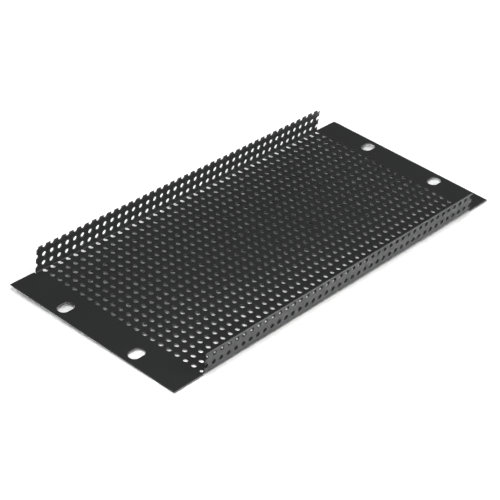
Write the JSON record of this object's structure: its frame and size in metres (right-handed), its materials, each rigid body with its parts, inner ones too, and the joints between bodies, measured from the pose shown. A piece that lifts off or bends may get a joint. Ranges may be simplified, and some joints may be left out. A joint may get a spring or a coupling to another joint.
{
  "type": "rack blanking panel",
  "caption": "Vented rack blanking panel of folded sheet steel: a perforated face with flanges along both long edges and plain slotted ends.",
  "frame": {"origin": "middle of the outline, on the front face", "axes": "+X along the panel, +Y to the taller flange, +Z back into the rack, the way the flanges stand"},
  "size_m": [0.3086, 0.1326, 0.0185],
  "materials": {
    "powder_coat": "black powder coat, fine texture"
  },
  "bodies": {
    "root": {"vented_panel": "powder_coat"}
  },
  "joints": []
}
